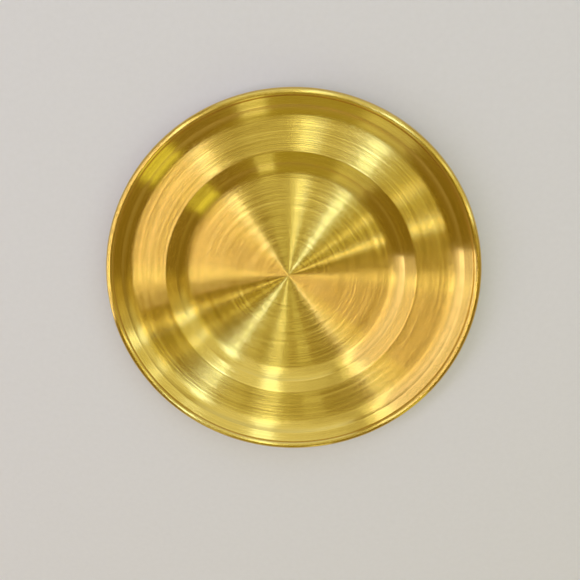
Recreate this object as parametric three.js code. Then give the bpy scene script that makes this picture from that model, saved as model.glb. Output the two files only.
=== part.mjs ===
// A round serving plate, spun from one sheet of gold-coloured metal, with its edge rolled over a wire.
// Millimetres, +Z up. The origin is the centre of the underside, on the surface that the plate stands on.
import * as THREE from 'three';

// Overall size and sheet
const OVERALL_DIAMETER = 200;
const SHEET = 0.8;

// Well: a concave cove rises from the flat floor, and a sloping shoulder carries it to the brim
const COVE_RADIUS = 15.6;
const COVE_ANGLE = 39;
const SHOULDER_LENGTH = 5.6;
const SHOULDER_ANGLE = 23;
const CREASE_RADIUS = 0.6;

// Brim and outer wall: the wall bends up, and eases at a crease into a flatter lip
const BRIM_LENGTH = 15;
const BRIM_ANGLE = 3.3;
const WALL_BEND_RADIUS = 12.6;
const WALL_LENGTH = 0.8;
const WALL_ANGLE = 43;
const LIP_LENGTH = 4;
const LIP_ANGLE = 30;

// Rolled edge and the wire inside it: a tight neck turns the lip up into the curl
const NECK_RADIUS = 1;
const NECK_ANGLE = 72;
const CURL_SWEEP = 310;
const WIRE_DIAMETER = 2;
const WIRE_CLEARANCE = 0.3;
const WIRE_END_GAP = 1.2;

// Facets: sides of the round plate, sides of the wire, and the largest turn of one profile step in degrees
const PLATE_SIDES = 72;
const WIRE_SIDES = 10;
const BEND_STEP = 17;

const GOLD = { color: 0xcfa63c, roughness: 0.32, metalness: 1 };
const STEEL = { color: 0x9a9ca0, roughness: 0.45, metalness: 1 };

const radians = THREE.MathUtils.degToRad;
const half = SHEET / 2;
const wireRadius = WIRE_DIAMETER / 2;
const curlInside = wireRadius + WIRE_CLEARANCE;
const curlOutside = curlInside + SHEET;

// The sheet's middle line, as the spinner forms it from the floor outwards. Every bend starts along the
// direction of the piece before it: a bend turns to a new angle above the horizontal on a middle radius.
const profile = [
  { bendTo: COVE_ANGLE, radius: COVE_RADIUS },
  { bendTo: SHOULDER_ANGLE, radius: CREASE_RADIUS + half },
  { straight: SHOULDER_LENGTH },
  { bendTo: BRIM_ANGLE, radius: CREASE_RADIUS + half },
  { straight: BRIM_LENGTH },
  { bendTo: WALL_ANGLE, radius: WALL_BEND_RADIUS },
  { straight: WALL_LENGTH },
  { bendTo: LIP_ANGLE, radius: CREASE_RADIUS + half },
  { straight: LIP_LENGTH },
  { bendTo: NECK_ANGLE, radius: NECK_RADIUS },
  { bendTo: NECK_ANGLE - CURL_SWEEP, radius: curlInside + half },
];

// Unit vector along an angle above the horizontal, and the one square to it on its upper side
const along = (angle) => new THREE.Vector2(Math.cos(radians(angle)), Math.sin(radians(angle)));
const across = (angle) => new THREE.Vector2(-Math.sin(radians(angle)), Math.cos(radians(angle)));

// Follows the middle line from a start point. Gives stations, each a point with the angle of the sheet
// there, and the centre of the last bend.
function followProfile(start) {
  const stations = [{ point: start.clone(), angle: 0 }];
  let centre = start;
  for (const piece of profile) {
    const { point, angle } = stations.at(-1);
    if (piece.straight) {
      stations.push({ point: point.clone().addScaledVector(along(angle), piece.straight), angle });
      continue;
    }
    const turn = piece.bendTo - angle;
    const side = Math.sign(turn);
    const steps = Math.ceil(Math.abs(turn) / BEND_STEP);
    centre = point.clone().addScaledVector(across(angle), side * piece.radius);
    for (let i = 1; i <= steps; i += 1) {
      const heading = angle + (turn * i) / steps;
      const onBend = centre.clone().addScaledVector(across(heading), -side * piece.radius);
      stations.push({ point: onBend, angle: heading });
    }
  }
  return { stations, centre };
}

// The floor takes up what the well's sides, brim, wall, lip and curl leave of the overall diameter.
const reach = followProfile(new THREE.Vector2(0, half)).centre.x;
const floorRadius = OVERALL_DIAMETER / 2 - curlOutside - reach;
const { stations, centre: curlCentre } = followProfile(new THREE.Vector2(floorRadius, half));

// One face of the sheet, from the axis to the cut edge: the middle line moved to its upper or lower side
function sheetFace(offset) {
  const face = stations.map(({ point, angle }) => point.clone().addScaledVector(across(angle), offset));
  return [new THREE.Vector2(0, half + offset), ...face];
}

// A profile of radius and height, turned about the vertical axis
function revolve(points) {
  return new THREE.LatheGeometry(points, PLATE_SIDES).rotateX(Math.PI / 2);
}

// A level circle about the vertical axis, open by a gap between its two ends
class OpenRing extends THREE.Curve {
  constructor(radius, height, gap) {
    super();
    this.radius = radius;
    this.height = height;
    this.gapAngle = gap / radius;
  }

  getPoint(t, target = new THREE.Vector3()) {
    const angle = this.gapAngle / 2 + t * (2 * Math.PI - this.gapAngle);
    return target.set(this.radius * Math.cos(angle), this.radius * Math.sin(angle), this.height);
  }
}

// The plate is one sheet throughout: floor, cove, shoulder, brim, wall, lip and rolled edge.
function makePlateBody() {
  return revolve([...sheetFace(-half), ...sheetFace(half).reverse()]);
}

// The wire is bent round inside the rolled edge until its ends nearly meet.
function makeRimWire() {
  const section = new THREE.Shape().absarc(0, 0, wireRadius, 0, 2 * Math.PI);
  const ring = new OpenRing(curlCentre.x, curlCentre.y, WIRE_END_GAP);
  return new THREE.ExtrudeGeometry(section, {
    curveSegments: WIRE_SIDES / 2,
    steps: PLATE_SIDES,
    extrudePath: ring,
  });
}

function makeNode(name, geometry, finish) {
  const mesh = new THREE.Mesh(geometry, new THREE.MeshStandardMaterial(finish));
  mesh.name = name;
  return mesh;
}

const plate = new THREE.Group();
plate.add(makeNode('plate_body', makePlateBody(), GOLD));
plate.add(makeNode('rim_wire', makeRimWire(), STEEL));

export default plate;
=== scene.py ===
"""A round serving plate of gold-coloured metal, dressed for a studio picture.

The plate is one sheet, spun on a lathe: a flat brushed floor, a polished cove and shoulder, a brushed
brim, a polished outer wall, and an edge that is rolled outwards and under over a steel wire.
Blender's unit is the metre. Sizes are written in millimetres, as on a drawing, and MM turns them to
metres.
"""

import logging
import math
from dataclasses import dataclass
from enum import Enum, IntEnum
from typing import Any, Iterator, Mapping

import bpy
from mathutils import Matrix, Vector


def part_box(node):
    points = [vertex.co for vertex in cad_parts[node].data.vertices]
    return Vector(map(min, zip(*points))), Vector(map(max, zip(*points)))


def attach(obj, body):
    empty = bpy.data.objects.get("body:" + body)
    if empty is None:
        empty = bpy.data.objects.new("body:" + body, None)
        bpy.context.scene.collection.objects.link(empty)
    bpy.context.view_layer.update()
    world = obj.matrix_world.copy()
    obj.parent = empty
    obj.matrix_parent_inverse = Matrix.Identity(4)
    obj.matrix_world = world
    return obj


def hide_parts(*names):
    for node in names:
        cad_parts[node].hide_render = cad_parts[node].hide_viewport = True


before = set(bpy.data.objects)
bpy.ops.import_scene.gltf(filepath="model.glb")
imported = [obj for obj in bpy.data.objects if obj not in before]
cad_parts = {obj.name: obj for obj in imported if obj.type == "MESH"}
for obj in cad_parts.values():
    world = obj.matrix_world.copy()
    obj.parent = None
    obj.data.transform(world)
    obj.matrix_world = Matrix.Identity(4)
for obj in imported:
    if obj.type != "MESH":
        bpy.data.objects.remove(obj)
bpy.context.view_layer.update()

MM = 0.001
BODY = "root"

# A point of the lathe's axis, the axis, and the factors that leave the level part of a vector
ORIGIN = (0, 0, 0)
AXIS = (0, 0, 1)
LEVEL = (1, 1, 0)

# Width of the picture, and width of the sensor that the focal length belongs to
IMAGE_PIXELS = 580
SENSOR_MM = 36.0

# Points closer than this are one point, and an edge that turns by more degrees than this is a cut edge
MERGE_MM = 0.001
CUT_EDGE_ANGLE = 60.0

# A noise texture's heights gather round 0.5. The painted shade in the lines follows them over the wider of
# these ranges, and slope over the narrower.
COLOUR_RANGE = (0.3, 0.7)
SLOPE_RANGE = (0.35, 0.65)

# Colour sockets of a Mix node by number, because its sockets for numbers and vectors share their names
MIX_FACTOR = 0
MIX_FIRST = 6
MIX_SECOND = 7
MIX_RESULT = 2

# Watts for each square metre of a panel whose face shows as plain white
WHITE_PANEL = 4

log = logging.getLogger("serving_plate")


class Zone(IntEnum):
    """Finishes of the plate, each with the number of its material slot."""

    BRUSHED = 0
    POLISHED = 1
    BURNISHED = 2
    SATIN = 3


class Gel(Enum):
    """Colours of the thin sheets over the lamps, each named for the light that it gives."""

    PEACH = "#FFF0F0"
    STRAW = "#FFF4B0"
    LIME = "#F0FF90"
    DAY = "#ECFBF4"
    LILAC = "#DCD8FF"
    SKY = "#A8C4FF"


class Slot(Enum):
    """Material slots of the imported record."""

    PLATE = "plate_metal"
    WIRE = "rim_wire_steel"


def linear(hex_colour: str) -> tuple[float, float, float]:
    """Turns a colour that is written as sRGB into linear light, by the curve of the sRGB standard.

    Args:
        hex_colour: The colour as six hexadecimal digits after a hash sign.

    Returns:
        Red, green and blue from 0 to 1, in linear light.
    """
    parts = (int(hex_colour[i:i + 2], 16) / 255 for i in (1, 3, 5))
    red, green, blue = (p / 12.92 if p <= 0.04045 else ((p + 0.055) / 1.055) ** 2.4 for p in parts)
    return red, green, blue


def opaque(hex_colour: str) -> tuple[float, float, float, float]:
    """Gives a written colour in linear light, with full alpha."""
    return (*linear(hex_colour), 1.0)


def add_node(
    tree: bpy.types.NodeTree, kind: str, inputs: Mapping[Any, Any] | None = None, **settings: Any
) -> bpy.types.Node:
    """Adds a node to a tree, with its settings and links.

    Args:
        tree: The node tree that takes the node.
        kind: Blender's type name of the node.
        inputs: What each input gets, by the input's name or number: a socket to link, or a value.
        **settings: The node's own properties.

    Returns:
        The new node.
    """
    node = tree.nodes.new(kind)
    for name, value in settings.items():
        setattr(node, name, value)
    for key, value in (inputs or {}).items():
        if isinstance(value, bpy.types.NodeSocket):
            tree.links.new(value, node.inputs[key])
        else:
            node.inputs[key].default_value = value
    return node


def new_material(name: str) -> tuple[bpy.types.Material, bpy.types.NodeTree, bpy.types.Node]:
    """Starts a material with a bare shader.

    Args:
        name: The material's name.

    Returns:
        The material, its node tree and its Principled shader.
    """
    material = bpy.data.materials.new(name)
    material.use_nodes = True
    tree = material.node_tree
    return material, tree, tree.nodes["Principled BSDF"]


def start_piece(name: str) -> bpy.types.Object:
    """Names the primitive that was just added, puts its place into its mesh and opens it for editing.

    Args:
        name: The piece's name.

    Returns:
        The piece, in edit mode with all of it selected.
    """
    piece = bpy.context.object
    piece.name = name
    piece.data.name = name
    bpy.ops.object.transform_apply(location=True, rotation=True, scale=True)
    bpy.ops.object.mode_set(mode="EDIT")
    bpy.ops.mesh.select_all(action="SELECT")
    return piece


def apply_modifier(piece: bpy.types.Object, kind: str, **settings: Any) -> None:
    """Adds a modifier to the active piece and applies it.

    Args:
        piece: The piece, active and in object mode.
        kind: Blender's type name of the modifier.
        **settings: The modifier's own properties.
    """
    bpy.ops.object.modifier_add(type=kind)
    modifier = piece.modifiers[-1]
    for name, value in settings.items():
        setattr(modifier, name, value)
    bpy.ops.object.modifier_apply(modifier=modifier.name)


def bevel_cut_edges(piece: bpy.types.Object, width_mm: float) -> None:
    """Breaks the sharp edges where the metal was cut.

    Args:
        piece: The piece, active and in object mode.
        width_mm: Width of the bevel.
    """
    apply_modifier(
        piece, "BEVEL", width=width_mm * MM, segments=2, limit_method="ANGLE",
        angle_limit=math.radians(CUT_EDGE_ANGLE),
    )


@dataclass(frozen=True)
class TurnedBrass:
    """Brass that was finished while it turned on the lathe, so that every mark runs round the axis.

    The marks are fine grooves along circles. Their sides lean in and out along the radius and hardly at all
    along the circle, which draws each lamp out into a thin bright streak from the centre to the edge. The
    coarser lines are also painted darker, as painted shade in the grooves.

    Attributes:
        name: The material's name.
        colour: The metal's colour.
        groove_shade_colour: Its colour in the deeper lines, darkened there as painted shade.
        roughness: Roughness of the grooves' sides.
        anisotropy: How much more the reflection spreads across the grooves than along them.
        groove_mm: Distance from one groove to the next.
        groove_slope: How far the grooves' sides lean, as a slope.
        line_mm: Distance from one coarser line to the next, which the eye sees as a line.
        line_slope: How far the coarser lines lean, as a slope.
        wander: How far a groove strays from its circle, as a slope.
        groove_arcs: How often a groove comes and goes round the circle; more gives shorter ones.
        line_arcs: How often a coarser line comes and goes round the circle.
    """

    name: str
    colour: str
    groove_shade_colour: str
    roughness: float
    anisotropy: float
    groove_mm: float
    groove_slope: float
    line_mm: float
    line_slope: float
    wander: float
    groove_arcs: float = 0.7
    line_arcs: float = 1.0

    def build(self) -> bpy.types.Material:
        """Builds the finish.

        Returns:
            The material.
        """
        material, tree, shader = new_material(self.name)
        place = add_node(tree, "ShaderNodeTexCoord").outputs["Object"]
        flat = add_node(
            tree, "ShaderNodeVectorMath", {0: place, 1: LEVEL}, operation="MULTIPLY"
        ).outputs[0]
        radius = add_node(tree, "ShaderNodeVectorMath", {0: flat}, operation="LENGTH").outputs["Value"]
        outward = add_node(tree, "ShaderNodeVectorMath", {0: flat}, operation="NORMALIZE").outputs[0]
        grooves = self.rings(tree, outward, radius, self.groove_mm, self.groove_arcs)
        lines = self.rings(tree, outward, radius, self.line_mm, self.line_arcs)

        # Painted shade: along the coarser lines the metal's colour is darkened towards the groove shade
        # colour, as if shade lay in the grooves.
        low, high = COLOUR_RANGE
        painted_shade_mix = add_node(
            tree, "ShaderNodeMapRange", {"Value": lines, "From Min": low, "From Max": high}
        ).outputs["Result"]
        colour = add_node(
            tree, "ShaderNodeMix",
            {MIX_FACTOR: painted_shade_mix, MIX_FIRST: opaque(self.groove_shade_colour), MIX_SECOND: opaque(self.colour)},
            data_type="RGBA",
        ).outputs[MIX_RESULT]
        groove_lean = self.lean(tree, grooves, self.groove_slope)
        line_lean = self.lean(tree, lines, self.line_slope)
        tilt = add_node(
            tree, "ShaderNodeMath", {0: groove_lean, 1: line_lean}, operation="ADD"
        ).outputs[0]
        stray = self.lean(tree, lines, self.wander)

        shader.inputs["Metallic"].default_value = 1.0
        shader.inputs["Roughness"].default_value = self.roughness
        shader.inputs["Anisotropic"].default_value = self.anisotropy
        tree.links.new(colour, shader.inputs["Base Color"])
        tree.links.new(self.groove_side(tree, outward, tilt), shader.inputs["Normal"])
        tree.links.new(self.across_grooves(tree, outward, stray), shader.inputs["Tangent"])
        return material

    def rings(
        self, tree: bpy.types.NodeTree, outward: Any, radius: Any, spacing_mm: float, arcs: float
    ) -> bpy.types.NodeSocket:
        """Draws marks that run round the axis, without a seam where the circle closes.

        Args:
            tree: The material's node tree.
            outward: Socket with the unit vector from the axis.
            radius: Socket with the distance from the axis, in metres.
            spacing_mm: Distance from one mark to the next, along the radius.
            arcs: How often a mark comes and goes round the circle; more gives shorter marks.

        Returns:
            A socket with the marks' height, from 0 to 1.
        """
        step = add_node(
            tree, "ShaderNodeMath", {0: radius, 1: spacing_mm * MM}, operation="DIVIDE"
        ).outputs[0]
        lift = add_node(tree, "ShaderNodeCombineXYZ", {"Z": step}).outputs[0]
        ring = add_node(
            tree, "ShaderNodeVectorMath", {0: outward, 1: (arcs, arcs, 0), 2: lift},
            operation="MULTIPLY_ADD",
        ).outputs[0]
        return add_node(
            tree, "ShaderNodeTexNoise", {"Vector": ring, "Scale": 1.0, "Detail": 1.0},
            noise_dimensions="3D",
        ).outputs[0]

    def lean(self, tree: bpy.types.NodeTree, marks: Any, slope: float) -> bpy.types.NodeSocket:
        """Turns marks into a slope to either side.

        Args:
            tree: The material's node tree.
            marks: Socket with the marks' height, from 0 to 1.
            slope: The slope of most marks.

        Returns:
            A socket with the slope.
        """
        low, high = SLOPE_RANGE
        return add_node(
            tree, "ShaderNodeMapRange",
            {"Value": marks, "From Min": low, "From Max": high, "To Min": -slope, "To Max": slope},
            clamp=False,
        ).outputs["Result"]

    def groove_side(self, tree: bpy.types.NodeTree, outward: Any, tilt: Any) -> bpy.types.NodeSocket:
        """Leans the surface in or out along the radius, as the side of a groove does.

        Args:
            tree: The material's node tree.
            outward: Socket with the unit vector from the axis.
            tilt: Socket with the slope.

        Returns:
            A socket with the normal, in world space.
        """
        level = add_node(tree, "ShaderNodeNewGeometry").outputs["Normal"]
        side = add_node(
            tree, "ShaderNodeVectorMath", {0: outward, "Scale": tilt}, operation="SCALE"
        ).outputs[0]
        turned = self.to_world(tree, side)
        normal = add_node(
            tree, "ShaderNodeVectorMath", {0: level, 1: turned}, operation="ADD"
        ).outputs[0]
        return add_node(tree, "ShaderNodeVectorMath", {0: normal}, operation="NORMALIZE").outputs[0]

    def across_grooves(self, tree: bpy.types.NodeTree, outward: Any, stray: Any) -> bpy.types.NodeSocket:
        """Finds the direction across the grooves, along which a reflection is drawn out.

        A groove isn't a perfect circle, so the direction strays a little from one groove to the next, and
        the streaks get the ragged edges of brushed metal.

        Args:
            tree: The material's node tree.
            outward: Socket with the unit vector from the axis.
            stray: Socket with the slope between the groove and its circle.

        Returns:
            A socket with the direction, in world space.
        """
        around = add_node(
            tree, "ShaderNodeVectorMath", {0: AXIS, 1: outward}, operation="CROSS_PRODUCT"
        ).outputs[0]
        turned = add_node(
            tree, "ShaderNodeVectorMath", {0: around, "Scale": stray}, operation="SCALE"
        ).outputs[0]
        leaning = add_node(
            tree, "ShaderNodeVectorMath", {0: outward, 1: turned}, operation="ADD"
        ).outputs[0]
        return self.to_world(tree, leaning)

    def to_world(self, tree: bpy.types.NodeTree, vector: Any) -> bpy.types.NodeSocket:
        """Turns a direction of the plate into a direction of the world.

        Args:
            tree: The material's node tree.
            vector: Socket with the direction.

        Returns:
            A socket with the turned direction.
        """
        return add_node(
            tree, "ShaderNodeVectorTransform", {"Vector": vector},
            vector_type="VECTOR", convert_from="OBJECT", convert_to="WORLD",
        ).outputs[0]


@dataclass(frozen=True)
class DrawnSteel:
    """Mild steel wire, as the drawing die left it.

    Attributes:
        name: The material's name.
        colour: The metal's colour.
        dark_colour: Its colour where it has darkened.
        roughness: Roughness of the surface.
        mark_mm: Size of the die's marks.
        mark_depth_mm: Depth of the die's marks.
        mark_strength: How plainly they show.
        stain_mm: Size of the darkened patches.
    """

    # Grey and dull to the eye, with a fine grain and a little darkening. A die's marks are hundredths of a
    # millimetre wide, too fine to show, and are drawn coarser.
    name: str = "Mild steel, drawn wire"
    colour: str = "#A6A7A9"
    dark_colour: str = "#77787C"
    roughness: float = 0.42
    mark_mm: float = 0.25
    mark_depth_mm: float = 0.01
    mark_strength: float = 0.3
    stain_mm: float = 9.0

    def build(self) -> bpy.types.Material:
        """Builds the finish.

        Returns:
            The material.
        """
        material, tree, shader = new_material(self.name)
        place = add_node(tree, "ShaderNodeTexCoord").outputs["Object"]
        marks = add_node(
            tree, "ShaderNodeTexNoise",
            {"Vector": place, "Scale": 1 / (self.mark_mm * MM), "Detail": 2.0},
        ).outputs[0]
        stains = add_node(
            tree, "ShaderNodeTexNoise",
            {"Vector": place, "Scale": 1 / (self.stain_mm * MM), "Detail": 3.0},
        ).outputs[0]
        colour = add_node(
            tree, "ShaderNodeMix",
            {MIX_FACTOR: stains, MIX_FIRST: opaque(self.dark_colour), MIX_SECOND: opaque(self.colour)},
            data_type="RGBA",
        ).outputs[MIX_RESULT]
        relief = add_node(
            tree, "ShaderNodeBump",
            {"Height": marks, "Strength": self.mark_strength, "Distance": self.mark_depth_mm * MM},
        ).outputs["Normal"]
        shader.inputs["Metallic"].default_value = 1.0
        shader.inputs["Roughness"].default_value = self.roughness
        tree.links.new(colour, shader.inputs["Base Color"])
        tree.links.new(relief, shader.inputs["Normal"])
        return material


@dataclass(frozen=True)
class StudioPaper:
    """Pale paper with a matt coating, rolled out under the plate.

    Attributes:
        name: The material's name.
        colour: The paper's colour.
        fibre_colour: Its colour where fibres lie closer.
        roughness: Roughness of the surface.
        specular: Level of its weak gloss.
        fibre_mm: Size of the clouds that the fibres make.
    """

    # Almost even to the eye and without a glint, so that only the plate's shadow shows on it. Its fibres
    # are too thin to show, and are drawn as faint clouds.
    name: str = "Studio paper, matt"
    colour: str = "#EEECEA"
    fibre_colour: str = "#E9E7E5"
    roughness: float = 0.85
    specular: float = 0.2
    fibre_mm: float = 3.0

    def build(self) -> bpy.types.Material:
        """Builds the finish.

        Returns:
            The material.
        """
        material, tree, shader = new_material(self.name)
        place = add_node(tree, "ShaderNodeTexCoord").outputs["Object"]
        fibre = add_node(
            tree, "ShaderNodeTexNoise",
            {"Vector": place, "Scale": 1 / (self.fibre_mm * MM), "Detail": 3.0},
        ).outputs[0]
        colour = add_node(
            tree, "ShaderNodeMix",
            {MIX_FACTOR: fibre, MIX_FIRST: opaque(self.fibre_colour), MIX_SECOND: opaque(self.colour)},
            data_type="RGBA",
        ).outputs[MIX_RESULT]
        shader.inputs["Roughness"].default_value = self.roughness
        shader.inputs["Specular IOR Level"].default_value = self.specular
        tree.links.new(colour, shader.inputs["Base Color"])
        return material


# Brushed with an abrasive while it turned: lamps are drawn out into streaks along the radius, crossed by
# fine circles. The grooves are too fine to show one by one and only spread the light, so the deepest of them
# are drawn once more as lines, as coarse as they need to show, leaning in the normal and darkened with
# painted shade.
BRUSHED_BRASS = TurnedBrass(
    name="Brass, brushed in circles", colour="#F0D06F", groove_shade_colour="#D2B14E", roughness=0.14,
    anisotropy=1.0, groove_mm=0.02, groove_slope=0.35, line_mm=0.4, line_slope=0.012, wander=0.006,
)

# Polished with a buff while it turned: its grooves are shallower, so it mirrors the lamps as patches with
# clear edges and is dark between them. Its lines, too, are drawn as coarse as they need to show.
POLISHED_BRASS = TurnedBrass(
    name="Brass, polished on the lathe", colour="#E6C667", groove_shade_colour="#DEBE5E", roughness=0.17,
    anisotropy=1.0, groove_mm=0.02, groove_slope=0.14, line_mm=0.5, line_slope=0.006, wander=0.005,
)

# Burnished by the tool that pressed a crease into the sheet: the smoothest bands, which the eye sees as
# thin crisp rings along the creases. Their lines are drawn coarser than real ones, as on the polished bands.
BURNISHED_BRASS = TurnedBrass(
    name="Brass, burnished along the creases", colour="#EBCB6C", groove_shade_colour="#E2C262", roughness=0.14,
    anisotropy=1.0, groove_mm=0.02, groove_slope=0.04, line_mm=0.5, line_slope=0.004, wander=0.005,
)

# As spinning left it, on the underside: a dull sheen, with the spinning tool's marks in circles.
SATIN_BRASS = TurnedBrass(
    name="Brass, satin from spinning", colour="#D6B355", groove_shade_colour="#BF9B43", roughness=0.38,
    anisotropy=0.6, groove_mm=0.2, groove_slope=0.05, line_mm=0.9, line_slope=0.03, wander=0.02,
)


@dataclass(frozen=True)
class Stretch:
    """One stretch of the sheet's middle line: a bend, or a straight where it has a length.

    Attributes:
        zone: The finish of its upper face.
        steps: Number of faces along it.
        length: Length of a straight, in millimetres.
        to_angle: Angle above the horizontal to which a bend turns, in degrees.
        radius: Middle radius of a bend, in millimetres.
    """

    zone: Zone
    steps: int
    length: float = 0.0
    to_angle: float = 0.0
    radius: float = 0.0


@dataclass
class SpunPlate:
    """The plate: one sheet, from the centre of its floor to the cut edge inside its rolled rim.

    Lengths are in millimetres and angles in degrees. A stretch has its angle above the horizontal.
    """

    # Overall size and sheet
    outer_radius: float
    sheet: float = 0.8

    # Well: a cove rises from the flat floor, brushed at its foot, and a shoulder carries it to the brim
    cove_radius: float = 15.6
    cove_angle: float = 39.0
    brushed_cove_angle: float = 12.0
    shoulder_length: float = 5.6
    shoulder_angle: float = 23.0
    crease_radius: float = 0.6

    # Brim and wall: the wall bends up, brushed at its foot, and eases at a crease into a flatter lip
    brim_length: float = 15.0
    brim_angle: float = 3.3
    wall_radius: float = 12.6
    brushed_wall_angle: float = 18.0
    wall_angle: float = 43.0
    wall_length: float = 0.8
    lip_length: float = 4.0
    lip_angle: float = 30.0

    # Rolled edge: a tight neck turns the lip up into the curl
    neck_radius: float = 1.0
    neck_angle: float = 72.0
    curl_inside: float = 1.3
    curl_sweep: float = 310.0
    edge_bevel: float = 0.12

    # Facets: sides of the round plate, rings of the floor, and the turn below which faces look smooth
    sides: int = 320
    floor_rings: int = 20
    smooth_angle: float = 35.0
    name: str = "spun_plate"

    @property
    def height(self) -> float:
        """Height of the rolled edge above the surface that the plate stands on."""
        return max(point.y for point, _ in self.walk(0.0)) + self.sheet / 2

    @property
    def curl_radius(self) -> float:
        """Radius of the rolled edge, at the middle of the sheet."""
        return self.curl_inside + self.sheet / 2

    def stretches(self) -> list[Stretch]:
        """Lists the stretches of the middle line after the flat floor.

        Returns:
            The stretches, in the order in which the sheet runs outwards.
        """
        cove = self.cove_radius
        crease = self.crease_radius + self.sheet / 2
        wall = self.wall_radius
        curl_end = self.neck_angle - self.curl_sweep
        return [
            Stretch(Zone.BRUSHED, steps=6, to_angle=self.brushed_cove_angle, radius=cove),
            Stretch(Zone.POLISHED, steps=14, to_angle=self.cove_angle, radius=cove),
            Stretch(Zone.BURNISHED, steps=4, to_angle=self.shoulder_angle, radius=crease),
            Stretch(Zone.POLISHED, steps=5, length=self.shoulder_length),
            Stretch(Zone.BURNISHED, steps=5, to_angle=self.brim_angle, radius=crease),
            Stretch(Zone.BRUSHED, steps=10, length=self.brim_length),
            Stretch(Zone.BRUSHED, steps=6, to_angle=self.brushed_wall_angle, radius=wall),
            Stretch(Zone.POLISHED, steps=10, to_angle=self.wall_angle, radius=wall),
            Stretch(Zone.POLISHED, steps=1, length=self.wall_length),
            Stretch(Zone.BURNISHED, steps=4, to_angle=self.lip_angle, radius=crease),
            Stretch(Zone.POLISHED, steps=4, length=self.lip_length),
            Stretch(Zone.POLISHED, steps=6, to_angle=self.neck_angle, radius=self.neck_radius),
            Stretch(Zone.POLISHED, steps=28, to_angle=curl_end, radius=self.curl_radius),
        ]

    def walk(self, floor_radius: float) -> Iterator[tuple[Vector, Zone]]:
        """Follows the middle line outwards from the edge of the flat floor.

        Args:
            floor_radius: Radius of the flat floor.

        Yields:
            The next point (radius and height), and the finish of the face that ends there.
        """
        point = Vector((floor_radius, self.sheet / 2))
        angle = 0.0
        for stretch in self.stretches():
            if stretch.length:
                step = Vector((math.cos(math.radians(angle)), math.sin(math.radians(angle))))
                for _ in range(stretch.steps):
                    point = point + step * (stretch.length / stretch.steps)
                    yield point, stretch.zone
                continue
            turn = (stretch.to_angle - angle) / stretch.steps
            chord = 2 * stretch.radius * math.sin(math.radians(abs(turn)) / 2)
            for _ in range(stretch.steps):
                heading = math.radians(angle + turn / 2)
                point = point + Vector((math.cos(heading), math.sin(heading))) * chord
                angle += turn
                yield point, stretch.zone

    def profile(self) -> list[tuple[Vector, Zone]]:
        """Works out the whole middle line, from the axis to the cut edge.

        Returns:
            Points (radius and height), each with the finish of the face that ends there.
        """
        widest = max(point.x for point, _ in self.walk(0.0)) + self.sheet / 2
        floor_radius = self.outer_radius - widest
        rings = self.floor_rings
        level = self.sheet / 2
        floor = [(Vector((floor_radius * i / rings, level)), Zone.BRUSHED) for i in range(rings + 1)]
        return floor + list(self.walk(floor_radius))

    def build(self) -> bpy.types.Object:
        """Spins the sheet, dresses it and gives it its thickness.

        Returns:
            The finished plate.
        """
        profile = self.profile()
        plate = self.spin_sheet([point for point, _ in profile])
        self.dress(plate, profile)
        # The offset moves every face of the underside to the last slot, which is the satin one.
        apply_modifier(
            plate, "SOLIDIFY", thickness=self.sheet * MM, offset=0.0, use_even_offset=True,
            material_offset=Zone.SATIN.value,
        )
        bevel_cut_edges(plate, self.edge_bevel)
        bpy.ops.object.shade_smooth_by_angle(angle=math.radians(self.smooth_angle))
        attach(plate, BODY)
        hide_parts("plate_body")
        return plate

    def spin_sheet(self, points: list[Vector]) -> bpy.types.Object:
        """Draws the middle line from a point on the axis, and spins it into a sheet without thickness.

        Args:
            points: The middle line, as radius and height.

        Returns:
            The sheet, in object mode.
        """
        bpy.ops.object.select_all(action="DESELECT")
        bpy.ops.mesh.primitive_plane_add(size=self.sheet * MM, location=(0, 0, points[0].y * MM))
        plate = start_piece(self.name)
        bpy.ops.mesh.merge(type="CENTER")
        for last, point in zip(points, points[1:]):
            step = (point - last) * MM
            bpy.ops.mesh.extrude_region_move(TRANSFORM_OT_translate={"value": (step.x, 0, step.y)})
        bpy.ops.mesh.select_all(action="SELECT")
        bpy.ops.mesh.spin(steps=self.sides, angle=math.tau, center=ORIGIN, axis=AXIS)
        bpy.ops.mesh.select_all(action="SELECT")
        bpy.ops.mesh.remove_doubles(threshold=MERGE_MM * MM)
        bpy.ops.mesh.normals_make_consistent(inside=False)
        bpy.ops.object.mode_set(mode="OBJECT")
        return plate

    def dress(self, plate: bpy.types.Object, profile: list[tuple[Vector, Zone]]) -> None:
        """Gives each face of the sheet the finish of its zone.

        Args:
            plate: The sheet without thickness.
            profile: The middle line, with the finish of each face.
        """
        for finish in (BRUSHED_BRASS, POLISHED_BRASS, BURNISHED_BRASS, SATIN_BRASS):
            plate.data.materials.append(finish.build())
        bands = [
            (inner.x * MM, outer.x * MM, zone)
            for (inner, _), (outer, zone) in zip(profile, profile[1:]) if zone is not Zone.POLISHED
        ]
        for face in plate.data.polygons:
            radius = face.center.to_2d().length
            found = (zone for inner, outer, zone in bands if inner <= radius <= outer)
            face.material_index = next(found, Zone.POLISHED)


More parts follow.
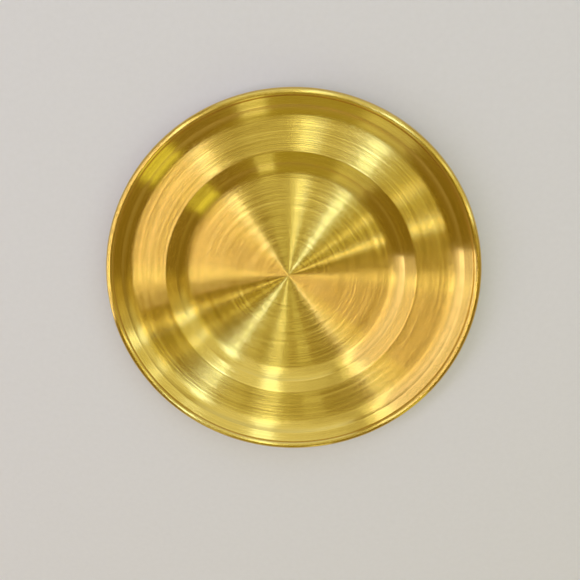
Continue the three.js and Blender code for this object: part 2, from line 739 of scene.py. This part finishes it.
@dataclass
class RimWire:
    """The wire that the edge is rolled over, bent into a ring until its ends nearly meet.

    Lengths are in millimetres and angles in degrees.
    """

    ring_radius: float
    height: float
    diameter: float = 2.0
    end_gap: float = 1.2
    end_bevel: float = 0.15

    # Facets: sides of the wire, steps round the ring, and the turn below which faces look smooth
    wire_sides: int = 20
    ring_steps: int = 240
    smooth_angle: float = 40.0
    name: str = "rim_wire_ring"

    def build(self) -> bpy.types.Object:
        """Bends the wire round, closes its ends and dresses it.

        Returns:
            The finished wire.
        """
        wire = self.bend_ring()
        bevel_cut_edges(wire, self.end_bevel)
        bpy.ops.object.shade_smooth_by_angle(angle=math.radians(self.smooth_angle))
        wire.data.materials.append(DrawnSteel().build())
        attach(wire, BODY)
        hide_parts("rim_wire")
        return wire

    def bend_ring(self) -> bpy.types.Object:
        """Draws the wire's section at one end, spins it round to the other and closes both.

        Returns:
            The wire, in object mode.
        """
        half_gap = self.end_gap / self.ring_radius / 2
        start = Vector((math.cos(half_gap), math.sin(half_gap), 0)) * self.ring_radius * MM
        start.z = self.height * MM
        bpy.ops.object.select_all(action="DESELECT")
        bpy.ops.mesh.primitive_circle_add(
            vertices=self.wire_sides, radius=self.diameter / 2 * MM, location=start,
            rotation=(math.pi / 2, 0, half_gap),
        )
        wire = start_piece(self.name)
        bpy.ops.mesh.spin(steps=self.ring_steps, angle=math.tau - 2 * half_gap, center=ORIGIN, axis=AXIS)
        bpy.ops.mesh.select_all(action="SELECT")
        bpy.ops.mesh.remove_doubles(threshold=MERGE_MM * MM)
        bpy.ops.mesh.fill_holes(sides=self.wire_sides)
        bpy.ops.mesh.select_all(action="SELECT")
        bpy.ops.mesh.normals_make_consistent(inside=False)
        bpy.ops.object.mode_set(mode="OBJECT")
        return wire


@dataclass(frozen=True)
class Viewpoint:
    """The camera, where the photograph was taken from.

    Places are in millimetres from the centre of the plate's underside. The picture's top is towards +Y.

    Attributes:
        place: Where the camera stands.
        aim: The point that it looks at.
        focal_pixels: Its focal length, in pixels of the picture.
        shift_pixels: How far its frame is moved to the right and up, in pixels of the picture.
        nearest: Distance from the camera at which things start to show.
    """

    place: tuple[float, float, float] = (-3.9, 78.6, 282.7)
    aim: tuple[float, float, float] = (-24.5, 12.8, 0.0)
    focal_pixels: float = 520.0
    shift_pixels: tuple[float, float] = (45.0, -38.0)
    nearest: float = 10.0

    def build(self) -> bpy.types.Object:
        """Adds the camera to the scene.

        Returns:
            The camera.
        """
        data = bpy.data.cameras.new("camera")
        data.sensor_fit = "HORIZONTAL"
        data.sensor_width = SENSOR_MM
        data.lens = SENSOR_MM * self.focal_pixels / IMAGE_PIXELS
        data.shift_x = self.shift_pixels[0] / IMAGE_PIXELS
        data.shift_y = self.shift_pixels[1] / IMAGE_PIXELS
        data.clip_start = self.nearest * MM
        camera = bpy.data.objects.new("camera", data)
        forward = (Vector(self.aim) - Vector(self.place)).normalized()
        right = forward.cross(Vector((0, 1, 0))).normalized()
        turn = Matrix((right, right.cross(forward), -forward)).transposed().to_4x4()
        camera.matrix_world = Matrix.Translation(Vector(self.place) * MM) @ turn
        bpy.context.scene.collection.objects.link(camera)
        bpy.context.scene.camera = camera
        return camera


@dataclass(frozen=True)
class Softbox:
    """One lamp panel, placed by the streak that it draws on the brushed floor.

    A level mirror at the centre of the plate would show the camera one spot overhead. A panel that lies
    along a line from that spot draws a streak along the same line on the plate.

    Attributes:
        name: What the lamp is for.
        azimuth: Direction of its streak, in degrees from +X.
        width: Width of its streak, in degrees.
        near: Where it starts: its level distance from the spot, as a share of the lamps' distance.
        far: Where it ends, in the same way.
        radiance: Brightness of the panel, where 1 is white.
        gel: Colour of its light.
    """

    name: str
    azimuth: float
    width: float
    near: float
    far: float
    radiance: float
    gel: Gel


def fan(
    name: str, start: float, end: float, count: int, near: float, far: float, radiance: float, gel: Gel
) -> tuple[Softbox, ...]:
    """Sets panels side by side, so that their streaks join into one bright sector.

    Args:
        name: What the lamps are for.
        start: Direction of the sector's first edge, in degrees from +X.
        end: Direction of its last edge, in degrees from +X.
        count: Number of panels.
        near: Where they start: their level distance from the spot, as a share of the lamps' distance.
        far: Where they end, in the same way.
        radiance: Brightness of the panels, where 1 is white.
        gel: Colour of their light.

    Returns:
        The panels.
    """
    width = (end - start) / count
    return tuple(
        Softbox(f"{name}_{i + 1}", start + width * (i + 0.5), width, near, far, radiance, gel)
        for i in range(count)
    )


@dataclass(frozen=True)
class Studio:
    """Plain studio: pale paper, a dim surround, and soft panels overhead.

    Lengths are in metres.

    Attributes:
        overhead_colour: Colour of the surround overhead.
        overhead_level: Its brightness there, where 1 is white.
        horizon_colour: Colour of the surround at the horizon.
        horizon_level: Its brightness there.
        horizon_height: Where the horizon's light has faded out, as the sine of the angle above it.
        distance: Distance from the plate to the panels.
        paper_size: Length of the paper's sides.
        paper_drop: Gap between the plate and the paper, which keeps their faces apart.
        panels: The lamp panels.
    """

    overhead_colour: str = "#FFDA50"
    overhead_level: float = 0.24
    horizon_colour: str = "#FFF6E8"
    horizon_level: float = 0.7
    horizon_height: float = 0.4
    distance: float = 2.0
    paper_size: float = 6.0
    paper_drop: float = 0.00005
    panels: tuple[Softbox, ...] = (
        # Bright sector: the near panels light the floor and the brim, the others the sides across from them
        *fan("sector", 123.0, 183.0, 10, 0.1, 0.25, 3.6, Gel.PEACH),
        *fan("sector_middle", 122.0, 192.0, 10, 0.5, 0.75, 0.75, Gel.LILAC),
        *fan("sector_low", 122.0, 192.0, 10, 0.75, 0.92, 2.1, Gel.LILAC),
        Softbox("sector_first_edge", 127.0, 7.0, 0.1, 0.5, 2.2, Gel.SKY),
        Softbox("sector_first_edge_far", 123.0, 9.0, 0.5, 0.95, 0.7, Gel.DAY),
        Softbox("sector_last_edge", 178.0, 7.0, 0.1, 0.5, 0.9, Gel.DAY),
        # Fill on the parts of the plate beside the sector
        Softbox("canopy", 68.0, 104.0, 0.45, 1.0, 0.6, Gel.DAY),
        Softbox("back", 85.0, 60.0, 1.0, 1.2, 0.9, Gel.SKY),
        *fan("top_fill", 64.0, 121.0, 6, 0.1, 0.45, 0.5, Gel.DAY),
        *fan("right_fill", 28.0, 52.0, 3, 0.1, 0.45, 0.3, Gel.LIME),
        # Single streaks, most with a far panel that carries them on over the curved sides
        Softbox("wide_streak", 57.0, 8.0, 0.1, 0.4, 9.0, Gel.SKY),
        Softbox("top_streak", 84.0, 7.0, 0.1, 0.4, 2.5, Gel.DAY),
        Softbox("top_streak_far", 82.0, 8.0, 0.4, 0.95, 1.5, Gel.SKY),
        Softbox("thin_streak", 38.0, 4.0, 0.1, 0.45, 1.3, Gel.STRAW),
        Softbox("thin_streak_far", 38.0, 5.0, 0.45, 0.95, 0.8, Gel.SKY),
        Softbox("side_streak", 23.5, 3.0, 0.1, 0.45, 3.4, Gel.STRAW),
        Softbox("side_streak_far", 24.0, 6.0, 0.45, 0.9, 1.5, Gel.SKY),
        # Patches on the curved sides across from these panels, at the top and on the left
        Softbox("front_fill", 262.0, 50.0, 0.25, 0.65, 0.17, Gel.LIME),
        Softbox("front", 282.0, 8.0, 0.5, 0.7, 0.85, Gel.DAY),
        Softbox("front_left", 239.0, 18.0, 0.4, 0.7, 0.4, Gel.DAY),
        Softbox("front_right", 317.0, 14.0, 0.5, 0.75, 0.8, Gel.LIME),
        Softbox("right", 8.0, 16.0, 0.3, 0.7, 0.28, Gel.STRAW),
    )

    def build(self, camera: bpy.types.Object) -> bpy.types.Object:
        """Lights the scene and rolls out the paper.

        Args:
            camera: The scene's camera.

        Returns:
            The paper.
        """
        self.light_surround()
        to_camera = camera.matrix_world.translation.normalized()
        spot = Vector((-to_camera.x, -to_camera.y))
        for panel in self.panels:
            self.hang(panel, spot)
        return self.roll_paper()

    def light_surround(self) -> None:
        """Gives the surround its dim light, which is pale at the horizon and warmer overhead."""
        world = bpy.data.worlds.new("surround")
        world.use_nodes = True
        tree = world.node_tree
        direction = add_node(tree, "ShaderNodeTexCoord").outputs["Generated"]
        rise = add_node(tree, "ShaderNodeSeparateXYZ", {0: direction}).outputs["Z"]
        share = add_node(
            tree, "ShaderNodeMapRange", {"Value": rise, "From Max": self.horizon_height}
        ).outputs["Result"]
        low = [part * self.horizon_level for part in linear(self.horizon_colour)]
        high = [part * self.overhead_level for part in linear(self.overhead_colour)]
        colour = add_node(
            tree, "ShaderNodeMix",
            {MIX_FACTOR: share, MIX_FIRST: (*low, 1.0), MIX_SECOND: (*high, 1.0)}, data_type="RGBA",
        ).outputs[MIX_RESULT]
        tree.links.new(colour, tree.nodes["Background"].inputs["Color"])
        bpy.context.scene.world = world

    def overhead(self, spot: Vector, azimuth: float, away: float) -> Vector:
        """Finds a place overhead.

        Args:
            spot: Level part of the direction to the spot that a mirror shows.
            azimuth: Direction from that spot, in degrees from +X.
            away: Level distance from that spot, as a share of the lamps' distance.

        Returns:
            The place, in metres.
        """
        level = spot + Vector((math.cos(math.radians(azimuth)), math.sin(math.radians(azimuth)))) * away
        return Vector((*level, math.sqrt(1 - level.length_squared))) * self.distance

    def hang(self, panel: Softbox, spot: Vector) -> None:
        """Hangs one panel, facing the plate.

        Args:
            panel: The panel.
            spot: Level part of the direction to the spot that a mirror shows.
        """
        start = self.overhead(spot, panel.azimuth, panel.near)
        end = self.overhead(spot, panel.azimuth, panel.far)
        middle = (start + end) / 2
        data = bpy.data.lights.new(panel.name, "AREA")
        data.shape = "RECTANGLE"
        # Halfway along its length, the panel is as wide as its streak.
        data.size = (panel.near + panel.far) * math.tan(math.radians(panel.width / 2)) * self.distance
        data.size_y = (end - start).length
        data.energy = WHITE_PANEL * data.size * data.size_y * panel.radiance
        data.color = linear(panel.gel.value)
        lamp = bpy.data.objects.new(panel.name, data)
        outward = middle.normalized()
        along = (end - start) - outward * (end - start).dot(outward)
        along.normalize()
        turn = Matrix((along.cross(outward), along, outward)).transposed().to_4x4()
        lamp.matrix_world = Matrix.Translation(middle) @ turn
        bpy.context.scene.collection.objects.link(lamp)

    def roll_paper(self) -> bpy.types.Object:
        """Lays the paper under the plate.

        Returns:
            The paper.
        """
        bpy.ops.object.select_all(action="DESELECT")
        bpy.ops.mesh.primitive_plane_add(size=self.paper_size, location=(0, 0, -self.paper_drop))
        paper = start_piece("paper")
        bpy.ops.object.mode_set(mode="OBJECT")
        paper.data.materials.append(StudioPaper().build())
        return paper


def main() -> None:
    """Builds the plate, its wire and the studio, in that order."""
    logging.basicConfig(level=logging.INFO, format="%(name)s: %(message)s")
    bpy.context.scene.view_settings.view_transform = "Standard"

    plate = SpunPlate(outer_radius=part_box("plate_body")[1].x / MM)
    log.info("%s: %d faces", plate.name, len(plate.build().data.polygons))
    curl = plate.curl_inside + plate.sheet
    wire = RimWire(ring_radius=plate.outer_radius - curl, height=plate.height - curl)
    log.info("%s: %d faces", wire.name, len(wire.build().data.polygons))

    camera = Viewpoint().build()
    studio = Studio()
    paper = studio.build(camera)
    log.info("%s: laid under the plate, with %d panels overhead", paper.name, len(studio.panels))


if __name__ == "__main__":
    main()
